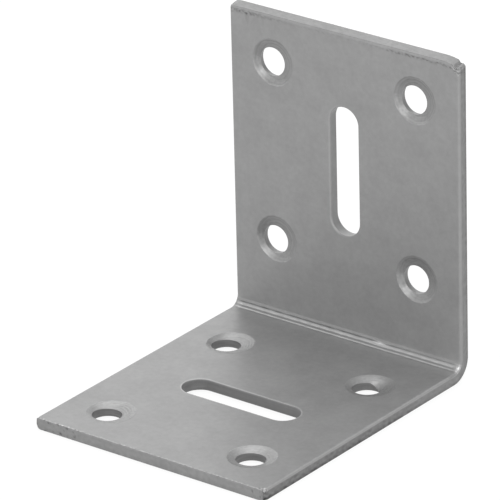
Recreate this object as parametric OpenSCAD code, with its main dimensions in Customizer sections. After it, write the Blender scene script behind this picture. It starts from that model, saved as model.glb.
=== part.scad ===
// Angle bracket: one steel sheet, sheared, punched, countersunk and folded once at a right angle.
// The fold runs along X. The base leg lies on Z = 0 and the upright leg stands at its back.

/* [Sheet] */
// Width of the sheet, along the fold
width = 50; // [46:0.5:90]
// Thickness of the sheet
thickness = 2.2; // [1.4:0.1:3]
// Base leg, from its free edge to the outer face of the upright
base_leg = 60; // [58:0.5:120]
// Upright leg, from the outer face of the base to its free edge
upright_leg = 61; // [58:0.5:120]
// Radius on the inside of the fold
fold_r = 2; // [1:0.1:4]

/* [Edges] */
// Radius that the shear rolls onto the inner edges of both sides
side_roll = 0.45; // [0.2:0.05:0.8]
// Depth of the roll at the free edge of the upright, into the thickness
top_roll = 0.8; // [0.3:0.05:1]
// Radius of the corners at the free edges
corner_r = 0.2; // [0.2:0.1:3]

/* [Screw holes] */
// Diameter of the screw holes
hole_d = 5.6; // [3:0.1:6.2]
// Diameter of the countersinks at the inner face
sink_d = 9; // [7.5:0.1:10]
// Depth at which the countersinks reach the diameter of the holes
sink_depth = 0.9; // [0.3:0.05:1.2]
// Distance between the two columns of holes, across the sheet
column_pitch = 31; // [26:0.5:34]
// Distance between the two rows of holes, along each leg
row_pitch = 34.3; // [32:0.1:36]
// Distance of the outer row of holes from the free edge
row_inset = 9.3; // [6:0.1:11]
// How far the holes were punched to the left of their countersinks
hole_offset = 0.75; // [0:0.05:0.8]

/* [Slots] */
// Width of the slots
slot_w = 6.6; // [4:0.1:7.5]
// Length of the slots, over their round ends
slot_l = 25.2; // [14:0.1:26]
// Radius that the punch rolls onto the inner edge of the slots
slot_roll = 0.2; // [0.1:0.05:0.6]

/* [Fold mark] */
// Width of the groove that the bending tool presses into the fold
mark_w = 0.8; // [0.4:0.1:1.2]
// Depth of that groove
mark_depth = 0.15; // [0.05:0.05:0.3]

/* [Hidden] */
$fn = 64;
past = 1;
outer_fold_r = fold_r + thickness;
row_mid = row_inset + row_pitch / 2;
slot_run = slot_l - slot_w;
sink_tip = sink_depth * sink_d / (sink_d - hole_d);
mark_r = (mark_depth * mark_depth + mark_w * mark_w / 4) / (2 * mark_depth);

// Cross-section of the sheet: depth below the inner face along X, width along Y.
module sheet_section() {
    translate([side_roll, -width / 2])
        square([thickness - side_roll, width]);
    translate([0, side_roll - width / 2])
        square([thickness, width - 2 * side_roll]);
    for (side = [-1, 1])
        translate([side_roll, side * (width / 2 - side_roll)])
            circle(r = side_roll);
}

// Outline of a leg seen square on, with its free edge at X = 0 and round corners there.
module leg_outline(run) {
    translate([corner_r, -width / 2])
        square([run - corner_r, width]);
    translate([0, corner_r - width / 2])
        square([run, width - 2 * corner_r]);
    for (side = [-1, 1])
        translate([corner_r, side * (width / 2 - corner_r)])
            circle(r = corner_r);
}

// Profile of a leg along its run: free edge at X = 0, inner face at Y = 0, outer face below it.
module leg_profile(run, roll) {
    translate([roll, -thickness])
        square([run - roll, thickness]);
    translate([0, -thickness])
        square([run, thickness - roll]);
    translate([roll, -roll])
        circle(r = roll);
}

// Round cut whose rim is rolled over at the inner face, from z = 0 down through the sheet.
module rolled_cut_profile(half_w, roll) {
    difference() {
        translate([0, -thickness - past])
            square([half_w + roll, thickness + 2 * past]);
        translate([half_w, -thickness - 2 * past])
            square([roll + past, thickness + 2 * past - roll]);
        translate([half_w + roll, -roll])
            circle(r = roll);
    }
}

// Slot along X through the sheet, with a rolled edge at the inner face.
module slot_cut() {
    for (end = [-1, 1])
        translate([end * slot_run / 2, 0, 0])
            rotate_extrude()
                rolled_cut_profile(slot_w / 2, slot_roll);
    for (side = [0, 1])
        mirror([0, side, 0])
            rotate([90, 0, 90])
                translate([0, 0, -slot_run / 2])
                    linear_extrude(slot_run)
                        rolled_cut_profile(slot_w / 2, slot_roll);
}

// Punched hole, shifted along Y, under a drilled countersink that opens at the inner face, z = 0.
module screw_cut(shift) {
    sink_slope = (sink_d - hole_d) / 2 / sink_depth;
    translate([0, shift, -thickness - past])
        cylinder(d = hole_d, h = thickness + 2 * past);
    translate([0, 0, -sink_tip])
        cylinder(r1 = 0, r2 = (sink_tip + past) * sink_slope, h = sink_tip + past);
}

// Flat leg with its free edge at X = 0, running along +X, inner face up at Z = 0.
module leg(run, roll, slot_turn, shift) {
    difference() {
        intersection() {
            rotate([0, 90, 0])
                linear_extrude(run)
                    sheet_section();
            translate([0, 0, -thickness - past])
                linear_extrude(thickness + 2 * past)
                    leg_outline(run);
            if (roll > 0)
                rotate([90, 0, 0])
                    translate([0, 0, -width / 2 - past])
                        linear_extrude(width + 2 * past)
                            leg_profile(run, roll);
        }
        for (row = [0, 1], side = [-1, 1])
            translate([row_inset + row * row_pitch, side * column_pitch / 2, 0])
                screw_cut(shift);
        translate([row_mid, 0, 0])
            rotate([0, 0, slot_turn])
                slot_cut();
    }
}

// Quarter turn of the sheet about the axis of the fold, along Z, with the pressed groove inside.
module fold() {
    difference() {
        rotate_extrude(angle = 90)
            translate([fold_r, 0])
                sheet_section();
        rotate([0, 0, 45])
            translate([fold_r + mark_depth - mark_r, 0, -width / 2 - past])
                cylinder(r = mark_r, h = width + 2 * past);
    }
}

module bracket() {
    color("#a9abac") {
        translate([0, -base_leg / 2, thickness])
            rotate([0, 0, 90])
                leg(base_leg - outer_fold_r, 0, 90, hole_offset);
        translate([0, base_leg / 2 - thickness, upright_leg])
            rotate([90, 90, 0])
                leg(upright_leg - outer_fold_r, top_roll, 0, -hole_offset);
        translate([0, base_leg / 2 - outer_fold_r, outer_fold_r])
            rotate([90, 0, 90])
                rotate([0, 0, -90])
                    fold();
    }
}

bracket();
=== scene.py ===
import math

import bmesh
import bpy
from mathutils import Matrix, Vector, noise
from mathutils.geometry import delaunay_2d_cdt


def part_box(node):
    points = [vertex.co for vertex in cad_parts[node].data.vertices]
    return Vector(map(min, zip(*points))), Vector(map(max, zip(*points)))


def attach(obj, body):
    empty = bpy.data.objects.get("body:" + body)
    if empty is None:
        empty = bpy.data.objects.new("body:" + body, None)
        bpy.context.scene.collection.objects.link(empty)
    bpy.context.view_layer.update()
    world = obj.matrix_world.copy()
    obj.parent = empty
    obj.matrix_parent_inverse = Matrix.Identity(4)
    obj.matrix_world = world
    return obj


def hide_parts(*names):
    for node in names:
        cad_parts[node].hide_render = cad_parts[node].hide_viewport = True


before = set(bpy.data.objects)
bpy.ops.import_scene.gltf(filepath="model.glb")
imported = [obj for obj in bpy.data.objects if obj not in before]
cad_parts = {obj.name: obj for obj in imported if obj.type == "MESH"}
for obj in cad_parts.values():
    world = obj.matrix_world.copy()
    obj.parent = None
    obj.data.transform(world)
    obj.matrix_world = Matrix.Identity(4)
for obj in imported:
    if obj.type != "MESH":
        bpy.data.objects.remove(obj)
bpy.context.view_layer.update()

# Sheet, in millimetres: the outer sizes come from the frame
MM = 0.001
low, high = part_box("bracket")
WIDTH = (high.x - low.x) / MM
BASE_LEG = (high.y - low.y) / MM
UPRIGHT_LEG = (high.z - low.z) / MM
SHEET = 2.2
FOLD_R = 2.0
OUTER_FOLD_R = FOLD_R + SHEET
FLAT_BASE = BASE_LEG - OUTER_FOLD_R
FOLD_ARC = FOLD_R * math.pi / 2
FOLD_MID = FLAT_BASE + FOLD_ARC / 2
RUN = FLAT_BASE + FOLD_ARC + UPRIGHT_LEG - OUTER_FOLD_R
CORNER_R = 0.2

# Rolled edges and the pressed band along the top: reach into the face, and depth at the edge
SIDE_ROLL = (0.55, 0.45)
TOP_ROLL = (0.05, 0.03)
TOP_BAND = (0.9, 0.15)
FRONT_ROLL = (0.12, 0.06)
SLOT_ROLL = (0.15, 0.1)

# How far the top face leans to the front, and the rounding of every edge at the back
TOP_LEAN = 0.38
BACK_ROUND = 0.12

# Pressed steps of the fold, from the base up: angle round the fold and depth below its arc
FOLD_STEPS = [
    (0, 0),
    (10, 0.03),
    (19, 0.115),
    (29, 0.077),
    (41, 0.3),
    (52, 0.311),
    (60, 0.103),
    (72, 0.103),
    (82, 0.02),
    (90, 0),
]

# Cuts of each leg: depth where the bores meet their countersinks, share by which it is deeper on the
# far side, radius of the bores there, radius of the slot at the back; then how burnished the
# countersinks are, the side where they get a painted highlight, how strong that painted highlight is
# and how strong the painted shade on the other side is, and how much painted shade the punched walls
# get
SINK_R = 4.5
RINGS = 5
BASE = {
    "rim": 0.58,
    "tilt": 0.25,
    "bore": 2.7,
    "slot_back": 3.15,
    "burnish_and_highlight": 0.08,
    "painted_lit_side": Vector((-0.6, 0.8)),
    "painted_highlight": 0.35,
    "painted_shade": 0.14,
    "wall": 0.5,
}
UPRIGHT = {
    "rim": 1.0,
    "tilt": 0,
    "bore": 2.7,
    "slot_back": 3.3,
    "burnish_and_highlight": -0.25,
    "painted_lit_side": Vector((-0.4, -0.92)),
    "painted_highlight": 0.58,
    "painted_shade": 0.12,
    "wall": 0.25,
}
COLUMN = 15.5
ROW_INSET = 9.3
ROW_PITCH = 34.3
SLOT_R = 3.1
SLOT_RUN = 18.6
SLOT_INSET = ROW_INSET + ROW_PITCH / 2
ROWS = [
    ROW_INSET,
    ROW_INSET + ROW_PITCH,
    RUN - ROW_INSET - ROW_PITCH,
    RUN - ROW_INSET,
]
SINKS = [(side * COLUMN, row) for row in ROWS for side in (-1, 1)]

# How far each bore lies off the middle of its countersink and its radius at the back, row by row
# from the front of the base
BORES = [
    ((-0.65, -0.45), 2.7),
    ((-0.25, -0.1), 2.75),
    ((-0.8, -0.35), 2.65),
    ((-0.5, -0.45), 2.7),
    ((-0.95, -0.7), 2.75),
    ((-0.75, -0.6), 2.75),
    ((-0.85, -0.4), 2.95),
    ((-0.75, -0.4), 2.9),
]

# Torn rim of one bore: its countersink, depth of the tear, how steeply it drops to the bore, and the
# angles where the tear starts, is full, begins to end and ends
TORN = SINKS[3]
TEAR_DEPTH = 1.15
TEAR_POWER = 5
TEAR_ANGLES = (38, 56, 70, 116)

# Dents in the sheared front edge, darkened with painted shade: place along the fold, depth below the
# inner face, size
SHADED_DENTS = [
    (-22.2, 0.3, 0.15),
    (-20.1, 0.15, 0.18),
    (-19.6, 1.75, 0.26),
    (-18.1, 0.3, 0.2),
    (22.5, 0.8, 0.18),
]

# Place along the fold of a small bead of pressed metal
BEAD_X = 7.2

# How dark the sheared edges of the sheet are, part darker sheared metal and part painted shade: at
# the front, beside the base and beside the upright
FRONT_SHADE = 0.17
BASE_SHADE = 0.5
UPRIGHT_SHADE = 0.28

# Crushed corners: side and end of the sheet, then the push inward at the face, middle and back
CRUSH_REACH = 1.1
CRUSHED = [
    (1, 0, (0.1, 0.22, 0.42)),
    (-1, 0, (0.16, 0.0, 0.16)),
    (-1, RUN, (0.2, 0.06, 0.1)),
]

# Slots: middle and direction, each a little off the middle of its four holes
SLOTS = [
    (Vector((0.2, SLOT_INSET - 0.35)), Vector((1, 0))),
    (Vector((0, RUN - SLOT_INSET - 0.25)), Vector((0, 1))),
]

# Mesh density
EDGE_STEP = 0.4
END_STEP = 0.25
FINE_STEP = 0.12
FINE_REACH = 2.0
FOLD_STEP = 0.07
FOLD_MARGIN = 1.2
COLUMN_STEP = 0.5
FILL_STEP = 2.5
FILL_MARGIN = 1.6
CORNER_STEPS = 5
SLOT_END_STEPS = 32
HOLE_STEPS = 80
CONE_STEPS = 18
WALL_STEPS = 8
WALL_SHARES = [0.03] + [i / (WALL_STEPS - 1) for i in range(1, WALL_STEPS)]
GUARD = 1.6
SHARP_ANGLE = 38

# Rings of points round the sheet and its cuts, on the inner face: distance from the edge
EDGE_RINGS = [GUARD, 1.4, 1.2, 1.05, 0.92, 0.8, 0.66, 0.52, 0.4, 0.29, 0.2, 0.13, 0.07, 0.03, 0]
SINK_RINGS = [0.6, 0.25, 0.08]
SLOT_RINGS = [0.9, 0.6, 0.4, 0.25, 0.15, 0.12, 0.09, 0.06, 0.04, 0.02, 0]

# Rings at the back: distance from the edge, and how far short of the back they lie
EDGE_BACK = [(0.03, 0.05), (0.08, 0.015), (BACK_ROUND + 0.05, 0), (GUARD, 0)]
HOLE_BACK = [(0.03, 0.04), (BACK_ROUND, 0), (0.8, 0)]
SLOT_BACK = [(0.04, 0.04), (BACK_ROUND, 0), (0.8, 0)]

# Zinc finish: scale and detail of its noises, and the range of the noise that is used
MOTTLING = (180.0, 5.0)
GRAIN = (1100.0, 4.0)
SMEARS = (350.0, 3.0)
PITS = (2500.0, 4.0)
NOISE_LOW = 0.3
NOISE_HIGH = 0.7

# Grey of the mottled plate, share by which the grain varies it, grey of burnish and painted
# highlights, and grey of dirt and painted shade
PLATE_GREY = (0.255, 0.285)
GRAIN_SHARE = (0.955, 1.045)
BURNISH_AND_HIGHLIGHT_GREY = 0.55
DIRT_AND_SHADE_GREY = 0.03

# Roughness and metallic share of the plate, how burnish and painted highlights change both, and the
# depth of the pits
ROUGHNESS = (0.4, 0.48)
BURNISH_AND_HIGHLIGHT_ROUGHNESS = -0.12
METALLIC = 0.35
BURNISH_AND_HIGHLIGHT_METALLIC = 0.5
PIT_STRENGTH = 0.08
PIT_DEPTH = 0.1 * MM

# Floor: half its width in metres, gap under the bracket in millimetres, grey, and how much it glows
FLOOR_REACH = 4.0
FLOOR_GAP = 0.02
FLOOR_GREY = 0.2
FLOOR_GLOW = 0.8

# Light of the room, and soft lights: name, direction from the bracket, size in metres and power
ROOM_LIGHT = 0.6
LIGHT_DISTANCE = 1.5
LIGHTS = [
    ("overhead", (-0.1, 0.03, 0.99), 1.6, 8.8),
    ("front", (0.45, -0.86, 0.22), 0.6, 2.8),
    ("front_right", (0.5, -0.4, 0.77), 1.0, 7.0),
    ("front_left", (-0.55, -0.82, 0.16), 0.5, 1.6),
    ("back_left", (-0.56, 0.72, 0.41), 1.2, 5.2),
    ("back", (0.1, 0.72, 0.7), 0.5, 1.7),
]


def wave(x, s, size, layer=0.0):
    """Smooth random value between -1 and 1 that changes over the given size."""
    return noise.noise(Vector((x / size, s / size, layer)))


def ease(value, start, end):
    """Rises smoothly from 0 at start to 1 at end."""
    t = min(max((value - start) / (end - start), 0), 1)
    return t * t * (3 - 2 * t)


def hump(value, middle, width):
    """Bell curve of height 1."""
    return math.exp(-(((value - middle) / width) ** 2))


def leg_at(s):
    """The cuts of the leg that a sheet point is on."""
    return BASE if s < FLAT_BASE else UPRIGHT


def roll(gap, reach, depth):
    """Depth of a rolled edge at a distance from that edge."""
    if gap >= reach:
        return 0
    t = 1 - max(gap, 0) / reach
    return depth * (1 - math.sqrt(1 - t * t))


def droop(x, s, d):
    """How far the top edge hangs down: it leans to the front, and its right corner is torn."""
    lean = TOP_LEAN * (1 - d / SHEET) * (1 - ease(RUN - s, 0, TOP_BAND[0]))
    slump = 0.4 * max((x - 21.0) / 2.7, 0) ** 2
    tear = 0.45 * ease(x, 23.6, 24.0) + 0.3 * ease(x, 24.5, 25.0)
    return lean + (min(slump, 0.4) + tear) * (1 - ease(RUN - s, 0.6, 3.2))


def crush(x, s, d):
    """How far a point at one of the crushed corners is pushed inward, along x and along s."""
    for side, end, (face, middle, back) in CRUSHED:
        close = 1 - ease(WIDTH / 2 - x * side, 0, CRUSH_REACH)
        close *= 1 - ease(abs(end - s), 0, CRUSH_REACH)
        if close:
            t = 2 * d / SHEET - 1
            push = middle + (face - middle) * max(-t, 0) ** 2 + (back - middle) * max(t, 0) ** 2
            push *= close * (1 + 1.2 * wave(x + s, d, 0.45, 14.0))
            return -side * push, push if end == 0 else -push
    return 0, 0


def place(x, s, d):
    """Point of the folded sheet: x along the fold, s along the inner face, d below that face."""
    push_x, push_s = crush(x, s, d)
    x += push_x
    s += push_s - droop(x, s, d)
    turn = min(max((s - FLAT_BASE) / FOLD_R, 0), math.pi / 2)
    radius = FOLD_R + d
    y = min(s, FLAT_BASE) - BASE_LEG / 2 + radius * math.sin(turn)
    z = OUTER_FOLD_R - radius * math.cos(turn) + max(s - FLAT_BASE - FOLD_ARC, 0)
    return Vector((x, y, z)) * MM


def slot_gap(x, s, slot):
    """Distance of a sheet point from the edge of a slot, negative inside it."""
    centre, along = slot
    offset = Vector((x, s)) - centre
    reach = offset.dot(along)
    across = offset.dot(Vector((-along.y, along.x)))
    return math.hypot(max(abs(reach) - SLOT_RUN / 2, 0), across) - SLOT_R


def cone_depth(t, q, reach, foot_depth):
    """Depth of a countersink, with rings, a share t of the reach from its edge to the bore."""
    turn = RINGS * t + 0.5 * wave(q.x, q.y, 1.6, 17.0)
    ring = 0.016 * reach * math.cos(2 * math.pi * turn) * (0.6 + 0.8 * wave(q.x, q.y, 0.9, 18.0))
    soft_start = 1.1 * t * t / (t + 0.1)
    return foot_depth * soft_start + ring * ease(t, 0, 0.15) * (1 - ease(t, 0.85, 1))


def tear(sink, ray):
    """How much deeper a countersink reaches where the rim of its bore is torn."""
    if sink != TORN:
        return 0
    start, full, fading, end = TEAR_ANGLES
    angle = math.degrees(math.atan2(ray.y, ray.x))
    ragged = 1 + 0.35 * wave(angle, 0, 6.0, 24.0)
    return TEAR_DEPTH * ragged * ease(angle, start, full) * (1 - ease(angle, fading, end))


def fold_marks(x, s):
    """Depth of the stepped marks that the bending tool pressed along the fold."""
    angle = math.degrees((s - FLAT_BASE) / FOLD_R)
    if not 0 < angle < 90:
        return 0
    angle = min(max(angle + 2 * wave(x, 0, 6.0, 4.0) * math.sin(2 * math.radians(angle)), 0), 90)
    depth = 0
    for (start, first), (end, second) in zip(FOLD_STEPS, FOLD_STEPS[1:]):
        if start <= angle <= end:
            depth = first + (second - first) * (angle - start) / (end - start)
    bead = 0.14 * hump(x, BEAD_X, 1.2) * hump(angle, 52, 9)
    strength = (1 - 0.3 * ease(x, 4, 18)) * (1 + 0.25 * wave(x, 0, 1.5, 5.0))
    return (depth * strength - bead) * ease(WIDTH / 2 - abs(x), 0.2, 1.8)


def battered(x, s):
    """How far knocks have roughened a sheet point, from 0 to 1."""
    front_corner = 1 - ease(math.hypot(WIDTH / 2 - x, s), 0.5, 1.8)
    top_corner = 1 - ease(math.hypot(WIDTH / 2 - x, RUN - s), 0.6, 2.2)
    front_edge = (1 - ease(s, 0.15, 0.5)) * (1 - 0.7 * ease(abs(x + 20), 2.5, 6))
    return max(front_corner, top_corner, front_edge)


def dirt_and_shade(x, s, d):
    """How dark a sheet point is painted, from 0 to 1: dark marks along the top and at knocked
    corners, tool rings in the countersinks, and painted shade on one side of each countersink, in a
    groove of the fold and in the dents of the front edge.
    """
    gap = RUN - s
    drift = 0.2 * wave(x, 0, 1.2, 11.0)
    left_end = 1 - ease(x, -22, -10)
    patchy = 0.2 + 0.8 * max(left_end, ease(x, 5, 14))
    line = hump(gap, TOP_BAND[0] + 0.15 + drift, 0.25 + 0.2 * left_end) if d < SHEET / 2 else 0
    dark = 0.9 * line * patchy * max(wave(x, 1.5 * s, 0.5, 8.0) + 0.3, 0)
    if gap < TOP_ROLL[0]:
        dark = max(dark, 0.3 * wave(x, 4 * d, 1.1, 21.0))
    dark = max(dark, 1.8 * battered(x, s) * (wave(x + d, s - d, 0.4, 20.0) - 0.15))
    # Countersinks: dark tool rings all round, and painted shade on the side away from the painted
    # highlight
    for sink in SINKS:
        out = Vector((x, s)) - Vector(sink)
        if out.length < SINK_R and d < 0.6 * SHEET:
            streak = max(1 + 2 * wave(out.length + 0.2 * wave(x, s, 1.0), 0, 0.25, sum(sink)), 0)
            side = -out.dot(leg_at(s)["painted_lit_side"]) / SINK_R
            dark = streak * (0.07 + leg_at(s)["painted_shade"] * max(side, 0))
    # Painted shade along a step pressed into the fold
    if 0 < s - FLAT_BASE < FOLD_ARC and d < SHEET / 2:
        groove = hump(math.degrees((s - FLAT_BASE) / FOLD_R), 56, 3) * (1 - 0.7 * ease(x, 2, 12))
        dark = 0.5 * groove * max(wave(x, 0, 1.6, 22.0) + 0.45, 0)
    # Painted shade in the dents of the front edge
    if s < 0.4:
        for dent_x, dent_d, size in SHADED_DENTS:
            away = math.hypot(x - dent_x, d - dent_d) / size
            dark = max(dark, math.exp(-away * away))
    return dark


def fold_painted_light(s):
    """How much less metallic the faces beside the fold are made: a painted brightening that stands
    in for light missing there.
    """
    above = s - FLAT_BASE - 0.72 * FOLD_ARC
    if above > 0:
        return 0.6 * math.exp(-above / 6)
    return 0.4 * hump(s, FLAT_BASE, 1.2) if s < FLAT_BASE + 0.1 * FOLD_ARC else 0


def sheen_and_painted_light(x, s):
    """How burnished a point of the inner face is, with painted highlights: 1 at most, below 0 beside
    the fold, where a painted brightening makes it less metallic.
    """
    # Countersinks: burnish, with a painted highlight on the lit side
    for sink in SINKS:
        out = Vector((x, s)) - Vector(sink)
        if out.length < SINK_R:
            leg = leg_at(s)
            side = ease(out.dot(leg["painted_lit_side"]) / SINK_R, -0.2, 0.8)
            return leg["burnish_and_highlight"] + leg["painted_highlight"] * side + 0.2 * wave(x, s, 0.4, 15.0)
    # Pressed lines and a bead on the fold, burnished and painted lighter as highlights, and a
    # painted highlight on the bulge at the right end of the fold
    angle = math.degrees((s - FLAT_BASE) / FOLD_R)
    lines = 0.95 * hump(angle, 46.5, 5.5) + 0.75 * hump(angle, 24, 4)
    lines *= 0.9 + 0.4 * wave(x, 0, 1.5, 10.0)
    bead = 1.2 * hump(x, BEAD_X, 1.3) * hump(angle, 50, 10)
    lines += bead + 0.5 * ease(x, 23, 24.5) * hump(angle, 45, 25)
    # Bright flecks at the knocked corners: worn metal, and painted glints
    fleck = 2.4 * battered(x, s) * max(-wave(x, s, 0.4, 20.0) - 0.05, 0)
    # Painted highlights along the rolled side edges, the front edge and the rims of the slots,
    # brightest at the lower end of the upright slot
    painted_highlight = (0.25 - 0.13 * ease(s, FLAT_BASE, RUN / 2)) * hump(WIDTH / 2 - abs(x), 0.12, 0.14)
    painted_highlight += 0.6 * hump(s, 0.08, 0.12) * max(0.5 + wave(x, s, 0.5, 23.0), 0)
    painted_highlight += 0.5 * hump(slot_gap(x, s, SLOTS[0]), 0.12, 0.12)
    low_end = ease(SLOTS[1][0].y - SLOT_RUN / 2 - s, -1, 2)
    painted_highlight += (0.15 + 0.4 * low_end) * hump(slot_gap(x, s, SLOTS[1]), 0.2, 0.2) * ease(-x, 0, 2.5)
    return min(lines + fleck + painted_highlight, 1) - fold_painted_light(s)


def worn(x, s):
    """Uneven depth of the face at the battered corners, one at the front and one at the top."""
    if x < 0:
        return 0
    near = min(math.hypot(x - WIDTH / 2, s), math.hypot(x - WIDTH / 2, RUN - s) * 0.6)
    close = 1 - ease(near, 0.3, 1.6)
    return close * (0.12 + 0.3 * wave(x, s, 0.5, 12.0)) if close else 0


def dip(x, s):
    """Depth of the inner face below its plane at a sheet point."""
    side_gap = WIDTH / 2 - abs(x)
    flare = 1 + 0.5 * hump(s, FOLD_MID, 1.5)
    top_gap = RUN - s
    band_reach = TOP_BAND[0] * (1 + 0.25 * wave(x, 0, 1.2, 11.0))
    band = TOP_BAND[1] * max(1 - top_gap / band_reach, 0)
    side = roll(side_gap, SIDE_ROLL[0] * flare, SIDE_ROLL[1])
    edge = max(math.hypot(side, band + roll(top_gap, *TOP_ROLL)), roll(s, *FRONT_ROLL))
    burr = 0.14 * max(wave(x, s, 0.7, 2.0) - 0.05, 0) * (1 - ease(s, 0.1, 0.6))
    scuff = 0.06 * max(wave(x, 0, 0.8, 7.0) + 0.2, 0) * hump(top_gap, TOP_BAND[0] + 0.15, 0.2)
    slots = max(roll(slot_gap(x, s, slot), *SLOT_ROLL) for slot in SLOTS)
    return edge - burr + scuff + slots + fold_marks(x, s) + worn(x, s)


class Sheet:
    """Vertices and faces of the folded sheet, kept together with their flat positions."""

    def __init__(self):
        self.flat = []
        self.points = []
        # Per point: how dark it is painted by dirt and shade, and how burnished and highlighted
        self.darkness = []
        self.burnish_and_highlight = []
        self.faces = []

    def add(self, x, s, d, dark=0):
        """Adds a point of the sheet, darkened where asked, and returns its number."""
        self.flat.append((x, s))
        self.points.append(place(x, s, d))
        self.darkness.append(max(dirt_and_shade(x, s, d), dark))
        self.burnish_and_highlight.append(0 if dark or d > 0.7 * SHEET else sheen_and_painted_light(x, s))
        return len(self.points) - 1

    def bridge(self, first, second):
        """Band of faces between two closed rings with the same count."""
        count = len(first)
        for i in range(count):
            j = (i + 1) % count
            self.faces.append((first[i], first[j], second[j], second[i]))

    def band(self, rings):
        """Faces between closed rings that follow each other."""
        for first, second in zip(rings, rings[1:]):
            self.bridge(first, second)

    def fill(self, loops, dots, keep):
        """Triangles between closed loops of vertices, through the given loose vertices."""
        ids = []
        known = {}
        edges = []
        for loop in loops:
            chain = []
            for v in loop:
                key = (round(self.flat[v][0], 5), round(self.flat[v][1], 5))
                if key not in known:
                    known[key] = len(ids)
                    ids.append(v)
                if not chain or chain[-1] != known[key]:
                    chain.append(known[key])
            if chain[0] == chain[-1]:
                chain.pop()
            edges += zip(chain, chain[1:] + chain[:1])
        ids += dots
        coords = [Vector(self.flat[v]) for v in ids]
        made = delaunay_2d_cdt(coords, edges, [], 0, 1e-5)
        source = [ids[origin[0]] for origin in made[3]]
        for face in made[2]:
            centre = sum((made[0][v] for v in face), Vector((0, 0))) / len(face)
            if keep(centre.x, centre.y):
                self.faces.append(tuple(source[v] for v in face))


def steps(start, end, step):
    """Evenly spaced values from start up to but without end."""
    count = max(round((end - start) / step), 1)
    return [start + (end - start) * i / count for i in range(count)]


FOLD_START = FLAT_BASE - FOLD_MARGIN
FOLD_END = FLAT_BASE + FOLD_ARC + FOLD_MARGIN
FOLD_ROWS = steps(FOLD_START, FOLD_END, FOLD_STEP) + [FOLD_END]
SIDE_ROWS = (
    steps(CORNER_R, FINE_REACH, FINE_STEP)
    + steps(FINE_REACH, FOLD_START, EDGE_STEP)
    + FOLD_ROWS
    + steps(FOLD_END, RUN - FINE_REACH, EDGE_STEP)[1:]
    + steps(RUN - FINE_REACH, RUN - CORNER_R, FINE_STEP)
    + [RUN - CORNER_R]
)
END_X = (
    steps(CORNER_R - WIDTH / 2, FINE_REACH - WIDTH / 2, FINE_STEP)
    + steps(FINE_REACH - WIDTH / 2, WIDTH / 2 - FINE_REACH, END_STEP)
    + steps(WIDTH / 2 - FINE_REACH, WIDTH / 2 - CORNER_R, FINE_STEP)
    + [WIDTH / 2 - CORNER_R]
)
COLUMNS = steps(GUARD - WIDTH / 2, WIDTH / 2 - GUARD, COLUMN_STEP)[1:]


def outline():
    """Anchor and outward direction of every point round the sheet, counter-clockwise."""
    half = WIDTH / 2 - CORNER_R
    down, right, up, left = Vector((0, -1)), Vector((1, 0)), Vector((0, 1)), Vector((-1, 0))
    corner_step = math.pi / 2 / (CORNER_STEPS + 1)
    corner_angles = [corner_step * i for i in range(1, CORNER_STEPS + 1)]

    def corner(x, s, start):
        return [
            (Vector((x, s)), Vector((math.cos(start + a), math.sin(start + a))))
            for a in corner_angles
        ]

    points = [(Vector((x, CORNER_R)), down) for x in END_X]
    points += corner(half, CORNER_R, -math.pi / 2)
    points += [(Vector((half, s)), right) for s in SIDE_ROWS]
    points += corner(half, RUN - CORNER_R, 0)
    points += [(Vector((x, RUN - CORNER_R)), up) for x in reversed(END_X)]
    points += corner(-half, RUN - CORNER_R, math.pi / 2)
    points += [(Vector((-half, s)), left) for s in reversed(SIDE_ROWS)]
    points += corner(-half, CORNER_R, math.pi)
    return points


def inset(point, e):
    """Flat position of an outline point moved inward by e."""
    anchor, outward = point
    if e <= CORNER_R:
        return anchor + outward * (CORNER_R - e)
    x = min(max(anchor.x, e - WIDTH / 2), WIDTH / 2 - e)
    s = min(max(anchor.y, e), RUN - e)
    return Vector((x, s))


def add_edges(sheet):
    """Rolled inner edge, sheared wall and rounded back edge all round the sheet."""
    points = outline()
    rings = []
    for e in EDGE_RINGS:
        flat = [inset(p, e) for p in points]
        rings.append([sheet.add(q.x, q.y, dip(q.x, q.y)) for q in flat])
    rims = [inset(p, 0) for p in points]
    for k, share in enumerate(WALL_SHARES, 1):
        ring = []
        for point, rim in zip(points, rims):
            top = dip(rim.x, rim.y)
            d = top + (SHEET - BACK_ROUND - top) * share
            torn = 0.05 * (0.5 + 0.5 * wave(rim.x + rim.y, d * 1.5, 0.7, 3.0)) * ease(k, 0, 3)
            torn += 0.2 * dirt_and_shade(rim.x, rim.y, d) + max(worn(rim.x, rim.y), 0) * ease(k, 0, 2)
            q = rim - point[1] * torn
            # The sheared wall is darker: darker sheared metal and painted shade
            ring.append(sheet.add(q.x, q.y, d, edge_shade(q, k)))
        rings.append(ring)
    for e, lift in EDGE_BACK:
        flat = [inset(p, e) for p in points]
        rings.append([sheet.add(q.x, q.y, SHEET - lift) for q in flat])
    sheet.band(rings)
    return rings[0], rings[-1]


def edge_shade(q, k):
    """How dark the sheared edge is at its k-th step down, as darker sheared metal and painted shade,
    darker towards the bottom; the top edge is clean.
    """
    if q.y > RUN - 0.5:
        return 0
    shade = FRONT_SHADE
    if abs(q.x) > WIDTH / 2 - 0.3:
        shade = BASE_SHADE + (UPRIGHT_SHADE - BASE_SHADE) * ease(q.y, FLAT_BASE / 2, FLAT_BASE)
    shade *= 0.8 + 0.2 * hump(k, 3, 1.5) + 0.8 * ease(k, 4, WALL_STEPS)
    return shade * ease(k, 0, 2) * (1 + 0.6 * wave(q.x + q.y, k * 0.4, 0.8, 16.0))


def wall_shade(q, k):
    """Painted shade on the wall of a cut at its k-th step down, in streaks round the cut."""
    return leg_at(q.y)["wall"] * ease(k, 0, 2) * (1 + 0.4 * wave(q.x + q.y, k * 5, 4.0, 6.0))


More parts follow.
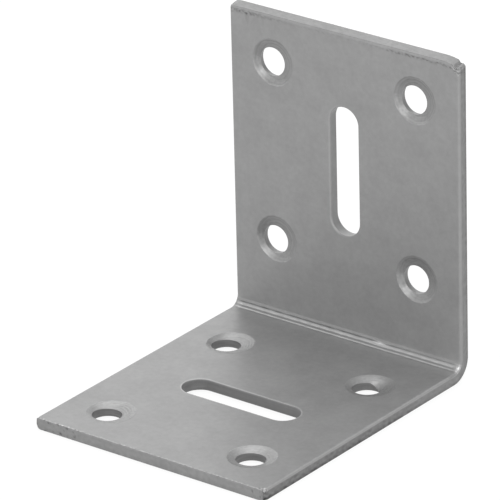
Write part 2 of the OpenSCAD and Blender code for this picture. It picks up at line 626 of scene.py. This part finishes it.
def add_hole(sheet, sink, shift, back_radius):
    """Countersink, bore wall and back edge of one screw hole."""
    centre = Vector(sink)
    bore = centre + Vector(shift)
    leg = leg_at(centre.y)
    rays = [
        Vector((math.cos(a), math.sin(a)))
        for a in steps(0, 2 * math.pi, 2 * math.pi / HOLE_STEPS)
    ]
    feet = [leg["rim"] * (1 + leg["tilt"] * ray.y) for ray in rays]
    tears = [tear(sink, ray) for ray in rays]
    rings = []
    for reach in SINK_RINGS:
        flat = [centre + ray * (SINK_R + reach) for ray in rays]
        rings.append([sheet.add(q.x, q.y, 0) for q in flat])
    for k in range(CONE_STEPS + 1):
        t = k / CONE_STEPS
        ring = []
        for ray, foot_depth, torn in zip(rays, feet, tears):
            rim = centre + ray * SINK_R
            foot = bore + ray * leg["bore"]
            q = rim.lerp(foot, t)
            d = cone_depth(t, q, (foot - rim).length, foot_depth) + torn * t ** TEAR_POWER
            ring.append(sheet.add(q.x, q.y, d))
        rings.append(ring)
    for k, share in enumerate(WALL_SHARES, 1):
        radius = leg["bore"] + (back_radius - leg["bore"]) * share
        ring = []
        for ray, foot_depth, torn in zip(rays, feet, tears):
            q = bore + ray * radius
            top = foot_depth + torn
            d = top + (SHEET - BACK_ROUND - top) * share
            # The bore wall gets painted shade
            ring.append(sheet.add(q.x, q.y, d, wall_shade(q, k)))
        rings.append(ring)
    for reach, lift in HOLE_BACK:
        flat = [bore + ray * (radius + reach) for ray in rays]
        rings.append([sheet.add(q.x, q.y, SHEET - lift) for q in flat])
    sheet.band(rings)
    return rings[0], rings[-1]


def add_slot(sheet, slot):
    """Rolled rim, wall and back edge of one slot."""
    centre, along = slot
    across = Vector((-along.y, along.x))
    points = []
    for end in (1, -1):
        for i in range(SLOT_END_STEPS + 1):
            a = math.pi * i / SLOT_END_STEPS - math.pi / 2
            out = (along * math.cos(a) + across * math.sin(a)) * end
            points.append((centre + along * end * SLOT_RUN / 2, out))
    rings = []
    for gap in SLOT_RINGS:
        flat = [p + out * (SLOT_R + gap) for p, out in points]
        rings.append([sheet.add(q.x, q.y, roll(gap, *SLOT_ROLL)) for q in flat])
    for k, share in enumerate(WALL_SHARES, 1):
        d = SLOT_ROLL[1] + (SHEET - BACK_ROUND - SLOT_ROLL[1]) * share
        radius = SLOT_R + (leg_at(centre.y)["slot_back"] - SLOT_R) * share
        ring = []
        for p, out in points:
            q = p + out * radius
            torn = 0.03 * (0.5 + 0.5 * wave(q.x + q.y, d * 1.5, 0.7, 5.0)) * ease(k, 1, 3)
            q = q + out * torn
            # Painted shade on the slot wall, less where the wall faces up, as if lit from above
            shade = wall_shade(q, k) * (1 - 0.7 * max(-out.y, 0))
            ring.append(sheet.add(q.x, q.y, d, shade))
        rings.append(ring)
    for reach, lift in SLOT_BACK:
        flat = [p + out * (radius + reach) for p, out in points]
        rings.append([sheet.add(q.x, q.y, SHEET - lift) for q in flat])
    sheet.band(rings)
    return rings[0], rings[-1]


def clear_of_cuts(x, s, margin):
    """True where a sheet point keeps a margin from every hole and slot."""
    clear_holes = all(math.hypot(x - cx, s - cs) > SINK_R + margin for cx, cs in SINKS)
    return clear_holes and all(slot_gap(x, s, slot) > margin for slot in SLOTS)


def add_face(sheet, edge_ring, cut_rings, depth):
    """Fold grid and flat fills of one face, between its edge ring and the rings of its cuts."""
    first_right = len(END_X) + CORNER_STEPS
    first_top = first_right + len(SIDE_ROWS) + CORNER_STEPS
    first_left = first_top + len(END_X) + CORNER_STEPS
    fold_at = SIDE_ROWS.index(FOLD_START)
    right = edge_ring[first_right:first_right + len(SIDE_ROWS)]
    left = edge_ring[first_left:first_left + len(SIDE_ROWS)][::-1]
    grid = []
    for k, s in enumerate(FOLD_ROWS):
        middle = [sheet.add(x, s, depth(x, s)) for x in COLUMNS]
        grid.append([left[fold_at + k]] + middle + [right[fold_at + k]])
    for below, above in zip(grid, grid[1:]):
        for i in range(len(below) - 1):
            sheet.faces.append((below[i], below[i + 1], above[i + 1], above[i]))
    after = fold_at + len(FOLD_ROWS)
    left_end = first_left + len(SIDE_ROWS)
    base_loop = edge_ring[:first_right + fold_at] + grid[0][::-1] + left[:fold_at][::-1]
    base_loop += edge_ring[left_end:]
    upright_loop = right[after:] + edge_ring[first_top - CORNER_STEPS:first_left]
    upright_loop += left[after:][::-1] + grid[-1]
    spans = ((GUARD, FOLD_START, base_loop), (FOLD_END, RUN - GUARD, upright_loop))
    for start, end, loop in spans:
        dots = []
        for s in steps(start, end, FILL_STEP)[1:]:
            for x in steps(GUARD - WIDTH / 2, WIDTH / 2 - GUARD, FILL_STEP)[1:]:
                if clear_of_cuts(x, s, FILL_MARGIN):
                    dots.append(sheet.add(x, s, depth(x, s)))
        inner = [
            ring
            for ring in cut_rings
            if start < sum(sheet.flat[v][1] for v in ring) / len(ring) < end
        ]
        polygons = [[Vector(sheet.flat[v]) for v in ring] for ring in inner]

        def keep(x, s):
            inside = start < s < end and abs(x) < WIDTH / 2 - GUARD
            return inside and not any(within(x, s, polygon) for polygon in polygons)

        sheet.fill([loop] + inner, dots, keep)


def within(x, s, polygon):
    """True if a flat point is inside a closed polygon."""
    odd = False
    for a, b in zip(polygon, polygon[1:] + polygon[:1]):
        if (a.y > s) != (b.y > s) and x < a.x + (s - a.y) / (b.y - a.y) * (b.x - a.x):
            odd = not odd
    return odd


def build_bracket():
    """The folded sheet as one closed mesh."""
    sheet = Sheet()
    inner_edge, outer_edge = add_edges(sheet)
    cuts = [add_hole(sheet, sink, *bore) for sink, bore in zip(SINKS, BORES)]
    cuts += [add_slot(sheet, slot) for slot in SLOTS]
    add_face(sheet, inner_edge, [c[0] for c in cuts], dip)
    add_face(sheet, outer_edge, [c[1] for c in cuts], lambda x, s: SHEET)
    mesh = bpy.data.meshes.new("bracket_sheet")
    mesh.from_pydata(sheet.points, [], sheet.faces)
    mesh.attributes.new("dirt_and_shade", "FLOAT", "POINT").data.foreach_set("value", sheet.darkness)
    mesh.attributes.new("sheen_and_painted_light", "FLOAT", "POINT").data.foreach_set("value", sheet.burnish_and_highlight)
    shape = bmesh.new()
    shape.from_mesh(mesh)
    bmesh.ops.remove_doubles(shape, verts=shape.verts, dist=1e-7)
    loose = [v for v in shape.verts if not v.link_faces]
    bmesh.ops.delete(shape, geom=loose, context="VERTS")
    bmesh.ops.recalc_face_normals(shape, faces=shape.faces)
    shape.to_mesh(mesh)
    shape.free()
    mesh.shade_smooth()
    mesh.set_sharp_from_angle(angle=math.radians(SHARP_ANGLE))
    return bpy.data.objects.new("bracket_sheet", mesh)


def zinc():
    """Matte zinc plate: grey metal with mottling and fine grain, burnished and dirty in places, with
    painted highlights and painted shade.
    """
    material = bpy.data.materials.new("zinc_plate")
    material.use_nodes = True
    nodes = material.node_tree.nodes
    links = material.node_tree.links
    shader = nodes["Principled BSDF"]
    place_node = nodes.new("ShaderNodeTexCoord")

    def texture(scale, detail):
        node = nodes.new("ShaderNodeTexNoise")
        node.inputs["Scale"].default_value = scale
        node.inputs["Detail"].default_value = detail
        links.new(place_node.outputs["Object"], node.inputs["Vector"])
        return node

    def spread(source, start, end):
        node = nodes.new("ShaderNodeMapRange")
        node.inputs["From Min"].default_value = NOISE_LOW
        node.inputs["From Max"].default_value = NOISE_HIGH
        node.inputs["To Min"].default_value = start
        node.inputs["To Max"].default_value = end
        links.new(source.outputs[0], node.inputs["Value"])
        return node.outputs[0]

    def painted(name):
        node = nodes.new("ShaderNodeAttribute")
        node.attribute_name = name
        return node.outputs["Fac"]

    def toward(factor, start, grey):
        node = nodes.new("ShaderNodeMix")
        node.data_type = "RGBA"
        node.inputs["B"].default_value = (grey, grey, grey, 1)
        links.new(factor, node.inputs["Factor"])
        links.new(start, node.inputs["A"])
        return node.outputs["Result"]

    plate = nodes.new("ShaderNodeMath")
    plate.operation = "MULTIPLY"
    links.new(spread(texture(*MOTTLING), *PLATE_GREY), plate.inputs[0])
    links.new(spread(texture(*GRAIN), *GRAIN_SHARE), plate.inputs[1])
    burnish_and_highlight_colour = toward(painted("sheen_and_painted_light"), plate.outputs[0], BURNISH_AND_HIGHLIGHT_GREY)
    dirt_and_shade_colour = toward(painted("dirt_and_shade"), burnish_and_highlight_colour, DIRT_AND_SHADE_GREY)
    links.new(dirt_and_shade_colour, shader.inputs["Base Color"])
    smoother = nodes.new("ShaderNodeMath")
    smoother.operation = "MULTIPLY_ADD"
    smoother.inputs[1].default_value = BURNISH_AND_HIGHLIGHT_ROUGHNESS
    links.new(painted("sheen_and_painted_light"), smoother.inputs[0])
    links.new(spread(texture(*SMEARS), *ROUGHNESS), smoother.inputs[2])
    links.new(smoother.outputs[0], shader.inputs["Roughness"])
    brighter = nodes.new("ShaderNodeMath")
    brighter.operation = "MULTIPLY_ADD"
    brighter.inputs[1].default_value = BURNISH_AND_HIGHLIGHT_METALLIC
    brighter.inputs[2].default_value = METALLIC
    links.new(painted("sheen_and_painted_light"), brighter.inputs[0])
    links.new(brighter.outputs[0], shader.inputs["Metallic"])
    bump = nodes.new("ShaderNodeBump")
    bump.inputs["Strength"].default_value = PIT_STRENGTH
    bump.inputs["Distance"].default_value = PIT_DEPTH
    links.new(texture(*PITS).outputs[0], bump.inputs["Height"])
    links.new(bump.outputs["Normal"], shader.inputs["Normal"])
    return material


def show(item):
    """Puts an object into the scene and returns it."""
    bpy.context.scene.collection.objects.link(item)
    return item


def add_floor():
    """Plain white floor just under the bracket, lit mostly by its own glow."""
    reach = FLOOR_REACH
    mesh = bpy.data.meshes.new("floor")
    corners = [(-reach, -reach, 0), (reach, -reach, 0), (reach, reach, 0), (-reach, reach, 0)]
    mesh.from_pydata(corners, [], [(0, 1, 2, 3)])
    material = bpy.data.materials.new("pale_floor")
    material.use_nodes = True
    shader = material.node_tree.nodes["Principled BSDF"]
    shader.inputs["Base Color"].default_value = (FLOOR_GREY, FLOOR_GREY, FLOOR_GREY, 1)
    shader.inputs["Roughness"].default_value = 0.9
    shader.inputs["Specular IOR Level"].default_value = 0.1
    shader.inputs["Emission Color"].default_value = (1, 1, 1, 1)
    shader.inputs["Emission Strength"].default_value = FLOOR_GLOW
    mesh.materials.append(material)
    floor = show(bpy.data.objects.new("floor", mesh))
    floor.location.z = low.z - FLOOR_GAP * MM


def add_softbox(name, direction, size, power):
    """Square soft light that faces the bracket from a direction."""
    data = bpy.data.lights.new(name, "AREA")
    data.size = size
    data.energy = power
    box = show(bpy.data.objects.new(name, data))
    toward = Vector(direction).normalized()
    box.location = toward * LIGHT_DISTANCE
    box.rotation_mode = "QUATERNION"
    box.rotation_quaternion = toward.to_track_quat("Z", "Y")


def add_light():
    """White room with soft lights overhead, in front, to both sides of the front and behind."""
    world = bpy.data.worlds.new("white_room")
    bpy.context.scene.world = world
    world.use_nodes = True
    world.node_tree.nodes["Background"].inputs["Color"].default_value = (1, 1, 1, 1)
    world.node_tree.nodes["Background"].inputs["Strength"].default_value = ROOM_LIGHT
    for light in LIGHTS:
        add_softbox(*light)
    bpy.context.scene.view_settings.view_transform = "Standard"


def add_camera():
    """Camera at the angle of the photo, far away with a long lens."""
    azimuth = math.radians(37.92)
    elevation = math.radians(24.293)
    tilt = math.radians(1.4)
    focal_in_widths = 5920.513 / 500
    aim = Vector((0.686, -26.88, -1042.662)) * MM
    right = Vector((math.cos(azimuth), math.sin(azimuth), 0))
    back = Vector((math.sin(azimuth), -math.cos(azimuth), 0)) * math.cos(elevation)
    back.z = math.sin(elevation)
    up = back.cross(right)
    tilted_right = right * math.cos(tilt) - up * math.sin(tilt)
    tilted_up = right * math.sin(tilt) + up * math.cos(tilt)
    data = bpy.data.cameras.new("camera")
    data.sensor_width = 36
    data.lens = focal_in_widths * data.sensor_width
    data.clip_end = 20
    camera = show(bpy.data.objects.new("camera", data))
    matrix = Matrix((tilted_right, tilted_up, back)).transposed().to_4x4()
    matrix.translation = -(tilted_right * aim.x + tilted_up * aim.y + back * aim.z)
    camera.matrix_world = matrix
    bpy.context.scene.camera = camera


bracket = show(build_bracket())
bracket.data.materials.append(zinc())
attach(bracket, "root")
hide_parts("bracket")
add_floor()
add_light()
add_camera()
